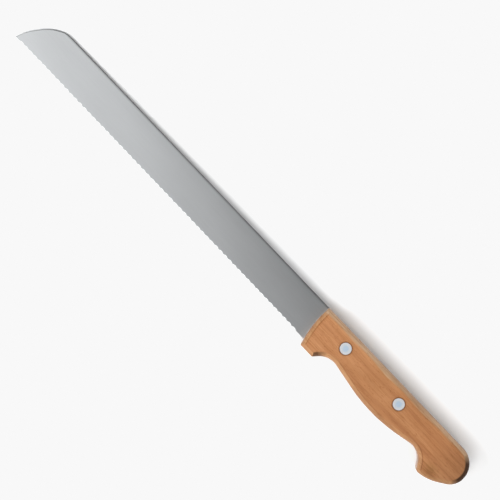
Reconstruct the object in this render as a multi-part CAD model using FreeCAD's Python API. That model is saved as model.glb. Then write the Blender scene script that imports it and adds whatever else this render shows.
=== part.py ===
import FreeCAD, Part
import math
import os

# Bread knife lying on its side, millimetres.
# +X points to the blade tip, +Y to the cutting edge, +Z is up.

# ---- driving dimensions -------------------------------------------------
BLADE_LENGTH = 251.2      # tip to handle front, measured along the knife
BLADE_HEIGHT = 24.2       # spine to the line of the tooth points
SHEET = 1.8               # thickness of the tang, as stamped
SPINE_T = 1.7             # the blade is ground thinner: at the spine
EDGE_T = 1.0              # and at the tooth points, with gently rounded sides
SPINE_EASE = 0.45         # rounding of the two spine corners

TOOTH_PITCH = 4.0
TOOTH_COUNT = 61
TOOTH_DEPTH = 0.9         # point to gullet, seen square on
TOOTH_FLAT = 0.25         # width left at each tooth point
FIRST_TOOTH = 3.3         # first tooth point, behind the tip
BEVEL_WIDTH = 3.0         # the edge is ground from the lower side only
BEVEL_DROP = 0.93         # rise of that bevel from its foot to the tooth points

HANDLE_LENGTH = 129.6
SCALE_THICKNESS = 8.1     # each wooden slab
EDGE_ROUND = 3.0          # rounding round the outer face of each slab
CORNER_EASE = 0.7         # the guard corners and the front top corner, taken off by hand
GUARD_DEPTH = 28.05       # spine to the underside of the finger guard
BEAK_DEPTH = 29.93        # spine to the lowest point of the beak at the butt
BEAK_RADIUS = 3.2
BUTT_RADIUS = 13.2

RIVET_AT = {"front": 24.5, "rear": 70.5}   # behind the handle front
RIVET_FROM_SPINE = 9.9
HEAD_D = 7.2
HEAD_T = 2.4
SOCKET_D = 4.4
PIN_D = 3.0
SHANK_HOLE_D = 4.6
TANG_HOLE_D = 4.8
TUBE_GAP = 1.0            # free length between the tube end and the far head

# ---- derived ------------------------------------------------------------
TOTAL_T = 2 * SCALE_THICKNESS + SHEET
Z_TANG = SCALE_THICKNESS
Z_TOP = Z_TANG + SHEET
Z_MID = Z_TANG + SHEET / 2
Z_CUT = Z_MID + EDGE_T / 2                 # height of the sharp edge
GUARD_FRONT = (-4.07, GUARD_DEPTH)         # (ahead of the handle front, below the spine)
GUARD_BACK = (-13.95, GUARD_DEPTH)
MID_X = (BLADE_LENGTH - HANDLE_LENGTH) / 2
MID_Y = BEAK_DEPTH / 2


def at(ahead, below, z=0.0):
    """A point given by its distance ahead of the handle front and below the spine."""
    return FreeCAD.Vector(ahead - MID_X, below - MID_Y, z)


def line(p, q):
    return Part.LineSegment(at(*p), at(*q)).toShape()


def curve(points, start, end):
    """Smooth curve through the points, leaving and arriving in the given directions."""
    spline = Part.BSplineCurve()
    spline.interpolate([at(*p) for p in points],
                       InitialTangent=FreeCAD.Vector(start[0], start[1], 0),
                       FinalTangent=FreeCAD.Vector(end[0], end[1], 0))
    return spline.toShape()


def rounded_path(corners):
    """Straight runs joined by tangent arcs; each corner is (ahead, below, radius)."""
    points = [at(ahead, below) for ahead, below, _ in corners]
    edges = []
    start = points[0]
    for i in range(1, len(points) - 1):
        corner = points[i]
        radius = corners[i][2]
        if radius == 0:
            edges.append(Part.LineSegment(start, corner).toShape())
            start = corner
            continue
        back = (points[i - 1] - corner).normalize()
        forth = (points[i + 1] - corner).normalize()
        half = back.getAngle(forth) / 2
        reach = radius / math.tan(half)
        centre = corner + (back + forth).normalize() * (radius / math.sin(half))
        middle = centre + (corner - centre).normalize() * radius
        first = corner + back * reach
        last = corner + forth * reach
        edges.append(Part.LineSegment(start, first).toShape())
        edges.append(Part.Arc(first, middle, last).toShape())
        start = last
    edges.append(Part.LineSegment(start, points[-1]).toShape())
    return edges


def plate(edges, z, thickness):
    face = Part.Face(Part.Wire(edges))
    face.translate(FreeCAD.Vector(0, 0, z))
    solid = face.extrude(FreeCAD.Vector(0, 0, thickness))
    return solid


def handle_outline():
    """Front face, guard, finger notch, belly, rear neck, beak, butt and spine."""
    corners = [
        (0.0, 0.0, 0),
        (0.0, 14.2, 70.0),                                  # front face, leaning back
        GUARD_FRONT + (0,),
        GUARD_BACK + (0,),
        (-20.85, 19.65, 12.2),                              # finger notch
        (-64.3, 27.3, 105.0),                               # belly
        (-99.3, 19.4, 11.5),                                # rear neck
        (-106.6, 30.2, BEAK_RADIUS),                         # beak
        (-115.3, 28.86, 29.0),                              # under the butt
        (-HANDLE_LENGTH, 19.4, 11.0),
        (-HANDLE_LENGTH, 0.0, BUTT_RADIUS),
        (0.0, 0.0, 0),
    ]
    return rounded_path(corners)


def ease_corners(body, spots):
    """Round the upright corner edges, and the mitres they run into, at the given spots."""
    picked = []
    for ahead, below in spots:
        spot = at(ahead, below)
        for edge in body.Edges:
            near = [v for v in edge.Vertexes if math.hypot(v.X - spot.x, v.Y - spot.y) < 0.05]
            if near and edge.BoundBox.ZLength > 1.0:
                picked.append(edge)
    return body.makeFillet(CORNER_EASE, picked)


def half_thickness(below):
    """Half the blade's thickness, falling off faster towards the edge."""
    return SPINE_T / 2 - (SPINE_T - EDGE_T) / 2 * (below / BLADE_HEIGHT) ** 2


def tooth_cutters():
    """Slanting round cutters: shallow scallops at the upper face, long facets underneath."""
    slope = math.atan2(BEVEL_WIDTH, BEVEL_DROP)
    lengthen = 1 / math.cos(slope)
    half = (TOOTH_PITCH - TOOTH_FLAT) / 2
    sag = TOOTH_DEPTH / lengthen
    radius = (half * half + sag * sag) / (2 * sag)
    along = FreeCAD.Vector(0, math.sin(slope), math.cos(slope))
    cutters = []
    for i in range(TOOTH_COUNT):
        ahead = BLADE_LENGTH - FIRST_TOOTH - (i + 0.5) * TOOTH_PITCH
        base = at(ahead, BLADE_HEIGHT - TOOTH_DEPTH + radius * lengthen, Z_CUT)
        base = base - along * 30
        cutters.append(Part.makeCylinder(radius, 60, base, along))
    return cutters


def bevel_cutter():
    """Wedge that takes the lower corner of the edge off, from the last gullet to the tip."""
    last = BLADE_LENGTH - FIRST_TOOTH - (TOOTH_COUNT - 0.5) * TOOTH_PITCH
    deep = 2.0
    section = Part.makePolygon([
        at(last, BLADE_HEIGHT, Z_CUT),
        at(last, BLADE_HEIGHT - deep * BEVEL_WIDTH, Z_CUT - deep * BEVEL_DROP),
        at(last, BLADE_HEIGHT + 3, Z_CUT - deep * BEVEL_DROP),
        at(last, BLADE_HEIGHT + 3, Z_CUT),
        at(last, BLADE_HEIGHT, Z_CUT),
    ])
    return Part.Face(section).extrude(FreeCAD.Vector(BLADE_LENGTH - last + 5, 0, 0))


def ground_bar(behind):
    """Long bar with the blade's tapering, gently rounded cross-section."""
    span = (-1.0, 12.0, BLADE_HEIGHT + 1.0)
    upper = [at(behind, d, Z_MID + half_thickness(d)) for d in span]
    lower = [at(behind, d, Z_MID - half_thickness(d)) for d in span]
    edges = [
        Part.Arc(*upper).toShape(),
        Part.LineSegment(upper[2], lower[2]).toShape(),
        Part.Arc(*lower).toShape(),
        Part.LineSegment(lower[0], upper[0]).toShape(),
    ]
    wire = Part.Wire(Part.__sortEdges__(edges))
    return Part.Face(wire).extrude(FreeCAD.Vector(BLADE_LENGTH - behind + 5, 0, 0))


def blade_plate():
    """Cutting part: straight spine, drooping rounded tip, spine corners eased."""
    tip = (BLADE_LENGTH, BLADE_HEIGHT - 0.2)
    nose = [tip, (249.3, 18.9), (245.1, 12.0), (238.75, 4.95), (232.5, 1.1), (225.5, 0.0)]
    behind = -10.0
    edges = [
        curve(nose, (-0.36, -1.0), (-1.0, 0.0)),
        line((225.5, 0.0), (behind, 0.0)),
        line((behind, 0.0), (behind, BLADE_HEIGHT)),
        line((behind, BLADE_HEIGHT), (BLADE_LENGTH - 0.15, BLADE_HEIGHT)),
        line((BLADE_LENGTH - 0.15, BLADE_HEIGHT), tip),
    ]
    body = plate(edges, Z_TANG - 1, SHEET + 2).common(ground_bar(behind - 5))
    back = [e for e in body.Edges if along_spine(e)]
    return body.makeFillet(SPINE_EASE, back)


def along_spine(edge):
    """True for the long edges of the spine and of the nose above the tip."""
    box = edge.BoundBox
    level = box.ZLength < 0.5
    low = box.YMax < at(0, BLADE_HEIGHT - 0.1).y
    return level and low and box.XLength > 1.5 and box.XMin > at(-10.5, 0).x


def blade():
    body = blade_plate()
    body = body.cut([bevel_cutter()] + tooth_cutters())
    tang = plate(handle_outline(), Z_TANG, SHEET)
    tang = ease_corners(tang, [GUARD_FRONT, GUARD_BACK])
    body = body.fuse(tang).removeSplitter()
    for ahead in RIVET_AT.values():
        hole = Part.makeCylinder(TANG_HOLE_D / 2, SHEET + 2, at(-ahead, RIVET_FROM_SPINE, Z_TANG - 1))
        body = body.cut(hole)
    return body


def scale(upper):
    """Wooden slab with a rounded outer border and two counterbored rivet holes."""
    z_in = Z_TOP if upper else Z_TANG
    out = 1 if upper else -1
    z_out = z_in + out * SCALE_THICKNESS
    body = plate(handle_outline(), min(z_in, z_out), SCALE_THICKNESS)
    rim = [e for e in body.Edges
           if abs(e.BoundBox.ZMin - z_out) < 0.01 and abs(e.BoundBox.ZMax - z_out) < 0.01]
    body = body.makeFillet(EDGE_ROUND, rim)
    body = ease_corners(body, [GUARD_FRONT, GUARD_BACK, (0.0, 0.0)])
    up = FreeCAD.Vector(0, 0, 1)
    for ahead in RIVET_AT.values():
        here = at(-ahead, RIVET_FROM_SPINE, min(z_in, z_out) - 1)
        seat = at(-ahead, RIVET_FROM_SPINE, z_out - HEAD_T if upper else z_out)
        body = body.cut(Part.makeCylinder(SHANK_HOLE_D / 2, SCALE_THICKNESS + 2, here, up))
        body = body.cut(Part.makeCylinder(HEAD_D / 2, HEAD_T, seat, up))
    return body


def rivet_socket(ahead):
    """Tubular half, head flush with the upper face."""
    up = FreeCAD.Vector(0, 0, 1)
    low = HEAD_T + TUBE_GAP
    seat = TOTAL_T - HEAD_T
    head = Part.makeCylinder(HEAD_D / 2, HEAD_T, at(-ahead, RIVET_FROM_SPINE, seat), up)
    tube = Part.makeCylinder(SOCKET_D / 2, seat - low, at(-ahead, RIVET_FROM_SPINE, low), up)
    bore = Part.makeCylinder(PIN_D / 2, seat - low, at(-ahead, RIVET_FROM_SPINE, low), up)
    return head.fuse(tube).removeSplitter().cut(bore)


def rivet_pin(ahead):
    """Solid half, head flush with the lower face."""
    up = FreeCAD.Vector(0, 0, 1)
    head = Part.makeCylinder(HEAD_D / 2, HEAD_T, at(-ahead, RIVET_FROM_SPINE, 0), up)
    reach = TOTAL_T - 2 * HEAD_T
    shank = Part.makeCylinder(PIN_D / 2, reach, at(-ahead, RIVET_FROM_SPINE, HEAD_T), up)
    return head.fuse(shank).removeSplitter()


nodes = {
    "blade": blade(),
    "handle_scale_upper": scale(True),
    "handle_scale_lower": scale(False),
}
for name, ahead in RIVET_AT.items():
    nodes[name + "_rivet_socket"] = rivet_socket(ahead)
    nodes[name + "_rivet_pin"] = rivet_pin(ahead)

os.makedirs("parts", exist_ok=True)
for name, shape in nodes.items():
    solids = shape.Solids
    piece = solids[0] if len(solids) == 1 else shape
    print(name, "solids", len(solids), "valid", piece.isValid(), "volume", round(piece.Volume, 1))
    box = piece.optimalBoundingBox()
    print("   ", [round(v, 3) for v in (box.XMin, box.XMax, box.YMin, box.YMax, box.ZMin, box.ZMax)])
    piece.exportStep("parts/" + name + ".step")
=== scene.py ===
import math

import bpy
from mathutils import Matrix, Vector


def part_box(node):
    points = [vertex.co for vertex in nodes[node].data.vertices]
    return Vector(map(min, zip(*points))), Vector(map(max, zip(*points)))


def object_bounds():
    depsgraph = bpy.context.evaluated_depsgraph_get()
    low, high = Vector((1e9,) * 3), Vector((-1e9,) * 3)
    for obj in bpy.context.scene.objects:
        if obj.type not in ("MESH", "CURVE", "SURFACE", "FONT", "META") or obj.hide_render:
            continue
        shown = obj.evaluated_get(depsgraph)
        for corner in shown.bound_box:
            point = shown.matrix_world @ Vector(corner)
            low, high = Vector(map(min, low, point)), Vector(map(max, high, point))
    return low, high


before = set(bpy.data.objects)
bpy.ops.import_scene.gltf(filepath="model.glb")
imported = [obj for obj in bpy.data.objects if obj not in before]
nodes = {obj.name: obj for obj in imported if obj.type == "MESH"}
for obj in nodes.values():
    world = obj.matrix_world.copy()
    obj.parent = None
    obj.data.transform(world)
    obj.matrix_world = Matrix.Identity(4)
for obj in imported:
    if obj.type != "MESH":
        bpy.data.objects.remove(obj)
cad_low, cad_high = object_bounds()

MM = 0.001
X, Y, Z = range(3)
WHITE = (1, 1, 1)
scene = bpy.context.scene

# ---- how the knife lies --------------------------------------------------
# Its weight is ahead of the handle, so it rests on the front of the lower
# scale and on the blade tip: the table is drawn tilted to touch both.
HANDLE_BACK, HANDLE_FRONT = (corner.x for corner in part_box("handle_scale_upper"))
BLADE_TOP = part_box("blade")[1].z
SPINE_Y = cad_low.y
SCALE_ROUNDING = 3 * MM
CONTACT_X = HANDLE_FRONT - SCALE_ROUNDING         # front of the lower scale's flat
CLEAR_OF_HANDLE = CONTACT_X + 20 * MM
TILT = min(math.atan2(v.co.z, v.co.x - CONTACT_X)
           for v in nodes["blade"].data.vertices if v.co.x > CLEAR_OF_HANDLE)
FLOOR_X = Vector((math.cos(TILT), 0, math.sin(TILT)))         # along the table, to the tip
FLOOR_N = Vector((-math.sin(TILT), 0, math.cos(TILT)))        # square to the table


def add_object(name, data):
    thing = bpy.data.objects.new(name, data)
    scene.collection.objects.link(thing)
    return thing


# ---- node helpers ---------------------------------------------------------
def new_material(name):
    mat = bpy.data.materials.new(name)
    mat.use_nodes = True
    tree = mat.node_tree
    shader = tree.nodes["Principled BSDF"]
    return mat, tree, shader


def node(tree, kind, **settings):
    """A new node; each setting is an input's value or else a property."""
    n = tree.nodes.new(kind)
    for key, value in settings.items():
        if key in n.inputs:
            n.inputs[key].default_value = value
        else:
            setattr(n, key, value)
    return n


def stretched_noise(tree, scale, detail, rough=0.5, offset=(0, 0, 0), distortion=0.0):
    """Noise in object space, pulled out along an axis by the three scales (per metre)."""
    coords = node(tree, "ShaderNodeTexCoord")
    mapping = node(tree, "ShaderNodeMapping", Scale=scale, Location=offset)
    noise = node(tree, "ShaderNodeTexNoise", Scale=1.0, Detail=detail, Roughness=rough, Distortion=distortion)
    tree.links.new(coords.outputs["Object"], mapping.inputs["Vector"])
    tree.links.new(mapping.outputs["Vector"], noise.inputs["Vector"])
    return noise.outputs["Fac"]


def ramp(tree, source, stops):
    """Colours blended between stops, each a place from 0 to 1 and a linear RGB colour."""
    r = node(tree, "ShaderNodeValToRGB")
    elements = r.color_ramp.elements
    while len(elements) < len(stops):
        elements.new(0.5)
    for element, (place, colour) in zip(elements, stops):
        element.position = place
        element.color = colour + (1.0,)
    tree.links.new(source, r.inputs["Fac"])
    return r.outputs["Color"]


def remap(tree, source, low, high, to_low=0.0, to_high=1.0):
    """Straight-line change from low..high to to_low..to_high, held at both ends."""
    m = node(tree, "ShaderNodeMapRange")
    m.inputs["From Min"].default_value = low
    m.inputs["From Max"].default_value = high
    m.inputs["To Min"].default_value = to_low
    m.inputs["To Max"].default_value = to_high
    tree.links.new(source, m.inputs["Value"])
    return m.outputs["Result"]


def mix_colour(tree, factor, a, b, blend="MIX"):
    m = node(tree, "ShaderNodeMix", data_type="RGBA", blend_type=blend)
    factor_socket, a_socket, b_socket = m.inputs[0], m.inputs[6], m.inputs[7]
    if isinstance(factor, (int, float)):
        factor_socket.default_value = factor
    else:
        tree.links.new(factor, factor_socket)
    for socket, value in ((a_socket, a), (b_socket, b)):
        if isinstance(value, tuple):
            socket.default_value = value + (1.0,)
        else:
            tree.links.new(value, socket)
    return m.outputs[2]


def multiply(tree, colour, tint, amount=1.0):
    return mix_colour(tree, amount, colour, tint, "MULTIPLY")


def math_node(tree, operation, a, b=0.0):
    m = node(tree, "ShaderNodeMath", operation=operation)
    for socket, value in ((m.inputs[0], a), (m.inputs[1], b)):
        if isinstance(value, (int, float)):
            socket.default_value = value
        else:
            tree.links.new(value, socket)
    return m.outputs[0]


def wandering(tree, value, noise, width):
    """The value, shifted to and fro by the noise over the given width."""
    shift = math_node(tree, "MULTIPLY", math_node(tree, "SUBTRACT", noise, 0.5), width)
    return math_node(tree, "ADD", value, shift)


def bump(tree, shader, height, distance, strength):
    b = node(tree, "ShaderNodeBump", Strength=strength, Distance=distance)
    tree.links.new(height, b.inputs["Height"])
    tree.links.new(b.outputs["Normal"], shader.inputs["Normal"])


def component(tree, output, axis):
    """One axis of the object-space place ("Object") or normal ("Normal")."""
    coords = node(tree, "ShaderNodeTexCoord")
    parts = node(tree, "ShaderNodeSeparateXYZ")
    tree.links.new(coords.outputs[output], parts.inputs[0])
    return parts.outputs[axis]


def depth_from_spine(tree):
    return math_node(tree, "SUBTRACT", component(tree, "Object", Y), SPINE_Y)


def distance_from_axis(tree, centre):
    """Distance from an upright axis through the given point, in object space."""
    squares = []
    for axis in (X, Y):
        offset = math_node(tree, "SUBTRACT", component(tree, "Object", axis), centre[axis])
        squares.append(math_node(tree, "MULTIPLY", offset, offset))
    return math_node(tree, "SQRT", math_node(tree, "ADD", *squares))


# ---- wood -------------------------------------------------------------------
# Stops are for ramp(); all but the heartwood's are multiplied over what is
# under them. Pairs are for remap(): where a change starts and where it ends.
NOISE_RANGE = (0.3, 0.7)                  # nearly all of a noise lies between these
HEARTWOOD = [(0.30, (0.345, 0.148, 0.062)), (0.5, (0.40, 0.180, 0.076)), (0.70, (0.445, 0.212, 0.095))]
STREAKS = [(0.33, (0.78, 0.71, 0.63)), (0.5, WHITE), (0.70, (1.09, 1.12, 1.17))]
PATCHES = [(0.3, (0.93, 0.90, 0.86)), (0.7, (1.06, 1.07, 1.08))]
FLECKS = [(0.62, WHITE), (0.72, (0.70, 0.58, 0.48))]
FIBRES = [(0.3, (0.92, 0.91, 0.89)), (0.7, (1.05, 1.05, 1.05))]
# Painted shade: the handle darkens towards the butt, further from the light.
SHADE_TOWARDS_BUTT = [(0.0, (0.60, 0.59, 0.57)), (0.20, (0.85, 0.82, 0.78)), (0.6, (0.86, 0.84, 0.80)),
                 (0.9, WHITE)]
WOOD_ROUGHNESS = (0.50, 0.38)

FLAT_TO_ROUNDED = (0.9995, 0.98)          # by how far the normal points up or down
FLAT_TO_SPINE_SIDE = (0.02, -0.10)        # by how far it points to the edge
# Paler sanded wood and painted sheen: the roundings are lightened, most of all on the spine side, which faces
# away from the light.
PALE_AND_SHEEN_ROUNDING = (1.02, 1.13, 1.16)
PALE_AND_SHEEN_SPINE_SIDE = (1.12, 1.58, 2.25)
PALE_SHEEN_STRIP_WIDTH = 3.2 * MM                        # width of the pale strip along the spine, partly paler wood and partly painted sheen
PALE_SHEEN_STRIP_BLUR = 0.6 * MM
PALE_SHEEN_STRIP_WANDER = 4 * MM

CREASE_TINT = (0.66, 0.54, 0.42)          # a darker line where the rounding starts
CREASE = [(0.955, WHITE), (0.985, CREASE_TINT), (0.998, CREASE_TINT), (0.99999, WHITE)]
BACK_TO_FRONT_RIM = (-0.02, 0.04)
CREASE_BY_RIM = (0.12, 1.0)
CREASE_BY_PATCH = (0.55, 1.0)

# Darker end grain and painted shade on the rims that face back, away from the light.
END_GRAIN_AND_SHADE = (0.048, 0.019, 0.007)
DARK_RIM_SIDEWAYS = 0.27                    # the painted dark rim turns a little to the spine at the butt
DARK_RIM_RAGGED = 0.3
DARK_RIM_FACING = (-0.38, -0.72)
FLAT_TO_RIM = (0.02, 0.22)                # by how far the normal leans over
DARK_RIM_ROUGHNESS = 0.8

RIVETS = [sum(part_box(pin), Vector()) / 2 for pin in ("front_rivet_pin", "rear_rivet_pin")]
RIVET_R = (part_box("front_rivet_pin")[1].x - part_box("front_rivet_pin")[0].x) / 2
# Painted shade: a dark ring round each rivet head stands in for the shade of the gap there.
RIVET_GAP_SHADE_REACH = RIVET_R * 2
RIVET_GAP_SHADE = [(0.54, (0.36, 0.30, 0.26)), (0.64, WHITE)]
BURN_MARK = Vector((HANDLE_FRONT - 112 * MM, SPINE_Y + 23.5 * MM, 0))      # beside the beak
BURN_MARK_R = 6.5 * MM
BURN_MARK_WANDER = 6 * MM
BURN_MARK_STAIN = [(0.1, (0.74, 0.74, 0.62)), (1.0, WHITE)]


def pale_and_sheen_roundings(tree, colour, patches):
    """Roundings are paler than the flat, partly sanded wood and partly painted sheen, most of all along the
    spine, and start at a darker line.
    """
    flatness = math_node(tree, "ABSOLUTE", component(tree, "Normal", Z))
    rounding = remap(tree, flatness, *FLAT_TO_ROUNDED)
    spine_side = remap(tree, component(tree, "Normal", Y), *FLAT_TO_SPINE_SIDE)
    depth = wandering(tree, depth_from_spine(tree), patches, PALE_SHEEN_STRIP_WANDER)
    pale_sheen_strip = remap(tree, depth, PALE_SHEEN_STRIP_WIDTH + PALE_SHEEN_STRIP_BLUR, PALE_SHEEN_STRIP_WIDTH - PALE_SHEEN_STRIP_BLUR)
    rounding = math_node(tree, "MAXIMUM", rounding, pale_sheen_strip)
    spine_side = math_node(tree, "MAXIMUM", spine_side, pale_sheen_strip)
    # painted sheen together with paler sanded wood on the roundings and the spine strip
    lighter = mix_colour(tree, spine_side, PALE_AND_SHEEN_ROUNDING, PALE_AND_SHEEN_SPINE_SIDE)
    colour = mix_colour(tree, rounding, colour, multiply(tree, colour, lighter))

    by_rim = remap(tree, component(tree, "Normal", X), *BACK_TO_FRONT_RIM, *CREASE_BY_RIM)
    by_patch = remap(tree, patches, 0.3, 0.6, *CREASE_BY_PATCH)
    strength = math_node(tree, "MULTIPLY", by_rim, by_patch)
    return multiply(tree, colour, ramp(tree, flatness, CREASE), strength)


def end_grain_and_shade_amount(tree, patches):
    """How far each place is darkened, partly as darker end grain and partly as painted shade: the rims that
    face back, away from the light, at the butt and in the finger notch.
    """
    upward = component(tree, "Normal", Z)
    upward_squared = math_node(tree, "MULTIPLY", upward, upward)
    level = math_node(tree, "SQRT", math_node(tree, "SUBTRACT", 1.0001, upward_squared))    # never quite 0
    sideways = remap(tree, component(tree, "Object", X), HANDLE_BACK, HANDLE_FRONT,
                     DARK_RIM_SIDEWAYS, -DARK_RIM_SIDEWAYS / 2)
    across = math_node(tree, "MULTIPLY", component(tree, "Normal", Y), sideways)
    facing = math_node(tree, "DIVIDE", math_node(tree, "ADD", component(tree, "Normal", X), across), level)
    ragged = math_node(tree, "ADD", facing, math_node(tree, "MULTIPLY", patches, DARK_RIM_RAGGED))
    return math_node(tree, "MULTIPLY", remap(tree, ragged, *DARK_RIM_FACING), remap(tree, level, *FLAT_TO_RIM))


def gap_shade_and_burn_mark(tree, colour, streaks):
    """Painted shade in a dark ring round each rivet head, and the burn mark beside the beak."""
    for rivet in RIVETS:
        # painted shade of the gap round each rivet head
        reach = remap(tree, distance_from_axis(tree, rivet), 0.0, RIVET_GAP_SHADE_REACH)
        colour = multiply(tree, colour, ramp(tree, reach, RIVET_GAP_SHADE))
    reach = wandering(tree, distance_from_axis(tree, BURN_MARK), streaks, BURN_MARK_WANDER)
    return multiply(tree, colour, ramp(tree, remap(tree, reach, 0.0, BURN_MARK_R), BURN_MARK_STAIN))


def wood_material(name, shift):
    """Oiled fruitwood: straight grain along X; roundings paler from sanding and painted sheen; butt rims
    darkened by end grain and painted shade; painted shade towards the butt and round the rivet holes.
    """
    mat, tree, shader = new_material(name)
    bands = stretched_noise(tree, (10, 230, 230), detail=3, rough=0.6, offset=shift, distortion=0.5)
    streaks = stretched_noise(tree, (48, 950, 950), detail=4, rough=0.65, offset=shift, distortion=0.3)
    fibres = stretched_noise(tree, (160, 5200, 5200), detail=2, offset=shift)
    flecks = stretched_noise(tree, (420, 2300, 2300), detail=1, offset=shift)
    patches = stretched_noise(tree, (45, 110, 110), detail=2, offset=shift)
    colour = ramp(tree, bands, HEARTWOOD)
    for noise, stops, amount in ((streaks, STREAKS, 0.8), (patches, PATCHES, 1.0),
                                 (flecks, FLECKS, 0.75), (fibres, FIBRES, 1.0)):
        colour = multiply(tree, colour, ramp(tree, noise, stops), amount)
    colour = pale_and_sheen_roundings(tree, colour, patches)
    # painted shade with darker end grain on the rims facing back
    rim_darkening = end_grain_and_shade_amount(tree, patches)
    colour = mix_colour(tree, rim_darkening, colour, END_GRAIN_AND_SHADE)
    # painted shade, darker towards the butt
    place = remap(tree, component(tree, "Object", X), HANDLE_BACK, HANDLE_FRONT)
    colour = multiply(tree, colour, ramp(tree, place, SHADE_TOWARDS_BUTT))
    colour = gap_shade_and_burn_mark(tree, colour, streaks)
    tree.links.new(colour, shader.inputs["Base Color"])

    satin = remap(tree, streaks, *NOISE_RANGE, *WOOD_ROUGHNESS)
    rougher_rim = math_node(tree, "MULTIPLY", rim_darkening, DARK_RIM_ROUGHNESS)
    tree.links.new(math_node(tree, "MAXIMUM", satin, rougher_rim), shader.inputs["Roughness"])
    shader.inputs["Specular IOR Level"].default_value = 0.5
    grain = math_node(tree, "ADD", streaks, math_node(tree, "MULTIPLY", fibres, 0.4))
    bump(tree, shader, grain, distance=0.03 * MM, strength=0.6)
    return mat


# ---- metal ------------------------------------------------------------------
STEEL = [(0.3, (0.725, 0.732, 0.74)), (0.7, (0.785, 0.792, 0.80))]
GRINDING_LINES = [(0.3, (0.95, 0.95, 0.95)), (0.7, (1.03, 1.03, 1.03))]
STEEL_ROUGHNESS = (0.33, 0.39)
SPINE_SHADE_DEPTH = (0.5 * MM, 1.5 * MM)     # painted shade: the face darkens where it meets the spine
SHADE_BY_SPINE = [(0, (0.58, 0.58, 0.58)), (1, WHITE)]
FACE_TO_SPINE = (-0.06, -0.40)            # by how far the normal points to the edge
SPINE_PAINTED_SHADE = (0.18, 0.18, 0.19)
# Painted reflection: each head bluish in the middle, lighter towards its rim.
RIVET_HEAD_REFLECTION = [(0.45, (0.72, 0.86, 1.0)), (0.85, (0.93, 0.95, 0.98))]
RIVET_HEAD_BLUR = 0.8 * MM
RIVET_METALLIC = 0.78
RIVET_ROUGHNESS = (0.48, 0.58)
METAL_SCRATCHES = {"distance": 0.006 * MM, "strength": 0.4}


def steel_material(name):
    """Satin steel; the spine is painted darker than the ground faces, as shade on the side away from the
    light.
    """
    mat, tree, shader = new_material(name)
    satin = stretched_noise(tree, (60, 9000, 9000), detail=3, rough=0.6)
    cloud = stretched_noise(tree, (14, 40, 40), detail=2, offset=(3, 1, 2))
    colour = multiply(tree, ramp(tree, cloud, STEEL), ramp(tree, satin, GRINDING_LINES))
    # painted shade along the face next to the spine
    depth = remap(tree, depth_from_spine(tree), *SPINE_SHADE_DEPTH)
    colour = multiply(tree, colour, ramp(tree, depth, SHADE_BY_SPINE))
    # painted shade on the spine, which faces away from the light
    spine = remap(tree, component(tree, "Normal", Y), *FACE_TO_SPINE)
    colour = mix_colour(tree, spine, colour, SPINE_PAINTED_SHADE)
    tree.links.new(colour, shader.inputs["Base Color"])
    shader.inputs["Metallic"].default_value = 1.0
    tree.links.new(remap(tree, satin, *NOISE_RANGE, *STEEL_ROUGHNESS), shader.inputs["Roughness"])
    bump(tree, shader, satin, **METAL_SCRATCHES)
    return mat


def rivet_material(name):
    """Turned aluminium with a painted reflection, a little bluish towards the middle of each head."""
    mat, tree, shader = new_material(name)
    sanding = stretched_noise(tree, (500, 9000, 9000), detail=2, offset=(1, 4, 2))
    mottle = stretched_noise(tree, (700, 700, 700), detail=2)
    # painted reflection on each head
    radius = math_node(tree, "MINIMUM", *(distance_from_axis(tree, rivet) for rivet in RIVETS))
    blurred = math_node(tree, "ADD", radius, math_node(tree, "MULTIPLY", mottle, RIVET_HEAD_BLUR))
    tree.links.new(ramp(tree, remap(tree, blurred, 0.0, RIVET_R), RIVET_HEAD_REFLECTION), shader.inputs["Base Color"])
    shader.inputs["Metallic"].default_value = RIVET_METALLIC
    tree.links.new(remap(tree, sanding, *NOISE_RANGE, *RIVET_ROUGHNESS), shader.inputs["Roughness"])
    bump(tree, shader, sanding, **METAL_SCRATCHES)
    return mat


MATERIALS = {
    "blade": steel_material("blade_steel"),
    "handle_scale_upper": wood_material("handle_wood_upper", (0.0, 0.0, 0.0)),
    "handle_scale_lower": wood_material("handle_wood_lower", (5.3, 17.1, 40.7)),
    "rivet": rivet_material("rivet_metal"),
}
for name, piece in nodes.items():
    mat = MATERIALS["rivet" if "rivet" in name else name]
    piece.data.materials.clear()
    piece.data.materials.append(mat)

# ---- table --------------------------------------------------------------------
FLOOR_R = 0.38
FLOOR_MIDDLE = -CONTACT_X                 # from the contact point to the knife's middle
RIM_POINTS = 128
PAPER = [(0.3, (0.90, 0.90, 0.90)), (0.7, (0.905, 0.905, 0.905))]


def on_floor(along, across):
    """A point of the tilted table, given along it from the contact point and across it."""
    return Vector((CONTACT_X, across, 0)) + FLOOR_X * along


def floor_material():
    """Matt white paper."""
    mat, tree, shader = new_material("floor_paper")
    tooth = stretched_noise(tree, (400, 400, 400), detail=2)
    tree.links.new(ramp(tree, tooth, PAPER), shader.inputs["Base Color"])
    shader.inputs["Roughness"].default_value = 0.9
    shader.inputs["Specular IOR Level"].default_value = 0.0
    return mat


def round_floor():
    turns = [2 * math.pi * i / RIM_POINTS for i in range(RIM_POINTS)]
    rim = [on_floor(FLOOR_MIDDLE + FLOOR_R * math.cos(turn), FLOOR_R * math.sin(turn)) for turn in turns]
    mesh = bpy.data.meshes.new("floor")
    mesh.from_pydata(rim, [], [range(RIM_POINTS)])
    mesh.materials.append(floor_material())
    return add_object("floor", mesh)


floor = round_floor()

# ---- camera: straight above the table -------------------------------------------
ROLL = math.radians(46.35)                # slope of the knife in the picture
VIEW_X = HANDLE_FRONT + 58.4 * MM         # what the camera centres on
VIEW_Y = -4.4 * MM
CAMERA_UP = 1.2
PICTURE_WIDTH = 0.303
SENSOR_WIDTH = 36
right = -FLOOR_X * math.cos(ROLL) - Vector((0, math.sin(ROLL), 0))
up = FLOOR_X * math.sin(ROLL) - Vector((0, math.cos(ROLL), 0))


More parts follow.
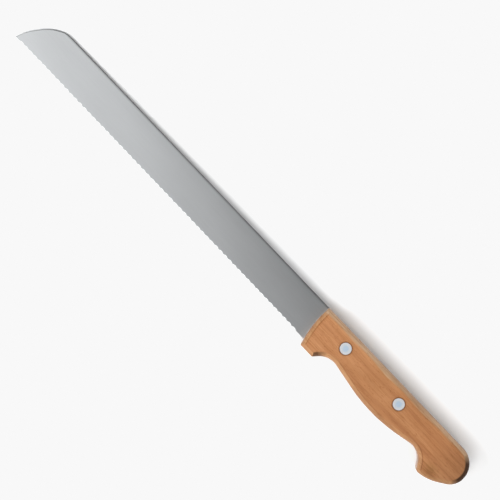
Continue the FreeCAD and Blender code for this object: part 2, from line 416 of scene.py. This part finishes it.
def looking_down(place):
    """Matrix of something at the given place that faces the table, the picture's way up."""
    return Matrix((
        (right.x, up.x, FLOOR_N.x, place.x),
        (right.y, up.y, FLOOR_N.y, place.y),
        (right.z, up.z, FLOOR_N.z, place.z),
        (0, 0, 0, 1)))


camera_data = bpy.data.cameras.new("camera")
camera_data.sensor_width = SENSOR_WIDTH
camera_data.lens = SENSOR_WIDTH * CAMERA_UP / PICTURE_WIDTH
camera_data.clip_end = 20
camera = add_object("camera", camera_data)
camera.matrix_world = looking_down(Vector((VIEW_X, VIEW_Y, BLADE_TOP)) + FLOOR_N * CAMERA_UP)
scene.camera = camera

# ---- lamps and walls --------------------------------------------------------------
LAMP_DISTANCE = 1.3
CEILING_FADE = 4.0                        # how fast the walls darken upward
MIRRORED_FADE = 1.3                       # and how fast in shiny surfaces
WALL_LEVEL = 1.05


def lamp(name, azimuth, elevation, size, power, colour=WHITE):
    """Round soft lamp shining at the knife; its azimuth turns from the picture's right through its top."""
    turn, rise = math.radians(azimuth), math.radians(elevation)
    level = right * math.cos(turn) + up * math.sin(turn)
    direction = level * math.cos(rise) + FLOOR_N * math.sin(rise)
    data = bpy.data.lights.new(name, "AREA")
    data.shape = "DISK"
    data.size = size
    data.energy = power
    data.color = colour
    holder = add_object(name, data)
    holder.location = direction * LAMP_DISTANCE
    holder.rotation_euler = direction.to_track_quat("Z", "Y").to_euler()
    holder.visible_glossy = False         # the metal mirrors the one big card instead


def reflector(left, height, width, length, radiance, colour):
    """Level white card over the picture's left side, only there to be seen in shiny surfaces."""
    data = bpy.data.lights.new("reflector", "AREA")
    data.shape = "RECTANGLE"
    data.size = width
    data.size_y = length
    data.energy = radiance * math.pi * width * length
    data.color = colour
    holder = add_object("reflector", data)
    holder.matrix_world = looking_down(FLOOR_N * height - right * left)
    holder.visible_diffuse = False


def studio_world():
    """White walls all round, fading to a dark ceiling; shiny surfaces see the walls reach higher."""
    world = bpy.data.worlds.new("studio")
    world.use_nodes = True
    tree = world.node_tree
    background = tree.nodes["Background"]
    coords = node(tree, "ShaderNodeTexCoord")
    rise = node(tree, "ShaderNodeVectorMath", operation="DOT_PRODUCT")
    tree.links.new(coords.outputs["Generated"], rise.inputs[0])
    rise.inputs[1].default_value = FLOOR_N
    wall = math_node(tree, "SUBTRACT", 1.0, math_node(tree, "MAXIMUM", rise.outputs["Value"], 0.0))
    glossy = node(tree, "ShaderNodeLightPath").outputs["Is Glossy Ray"]
    fade = remap(tree, glossy, 0.0, 1.0, CEILING_FADE, MIRRORED_FADE)
    tree.links.new(math_node(tree, "POWER", wall, fade), background.inputs["Color"])
    background.inputs["Strength"].default_value = WALL_LEVEL
    return world


lamp("key_left", azimuth=178, elevation=48, size=0.62, power=12, colour=(0.955, 0.985, 1.0))
lamp("low_right", azimuth=338, elevation=14, size=0.72, power=7)
lamp("top_soft", azimuth=250, elevation=72, size=0.62, power=7.5)
lamp("front_soft", azimuth=315, elevation=52, size=0.62, power=6.5)
lamp("front_left", azimuth=228, elevation=32, size=0.72, power=4.2)
reflector(left=1.05, height=1.2, width=1.8, length=2.4, radiance=1.17, colour=(0.975, 0.992, 1.0))
scene.world = studio_world()

# ---- picture: white comes out a little below the display's white -----------
PAPER_WHITE = 0.9387
view = scene.view_settings
view.view_transform = "Standard"
view.look = "None"
view.use_curve_mapping = True
view.curve_mapping.extend = "HORIZONTAL"
view.curve_mapping.curves[3].points[-1].location = (1.0, PAPER_WHITE)
view.curve_mapping.update()
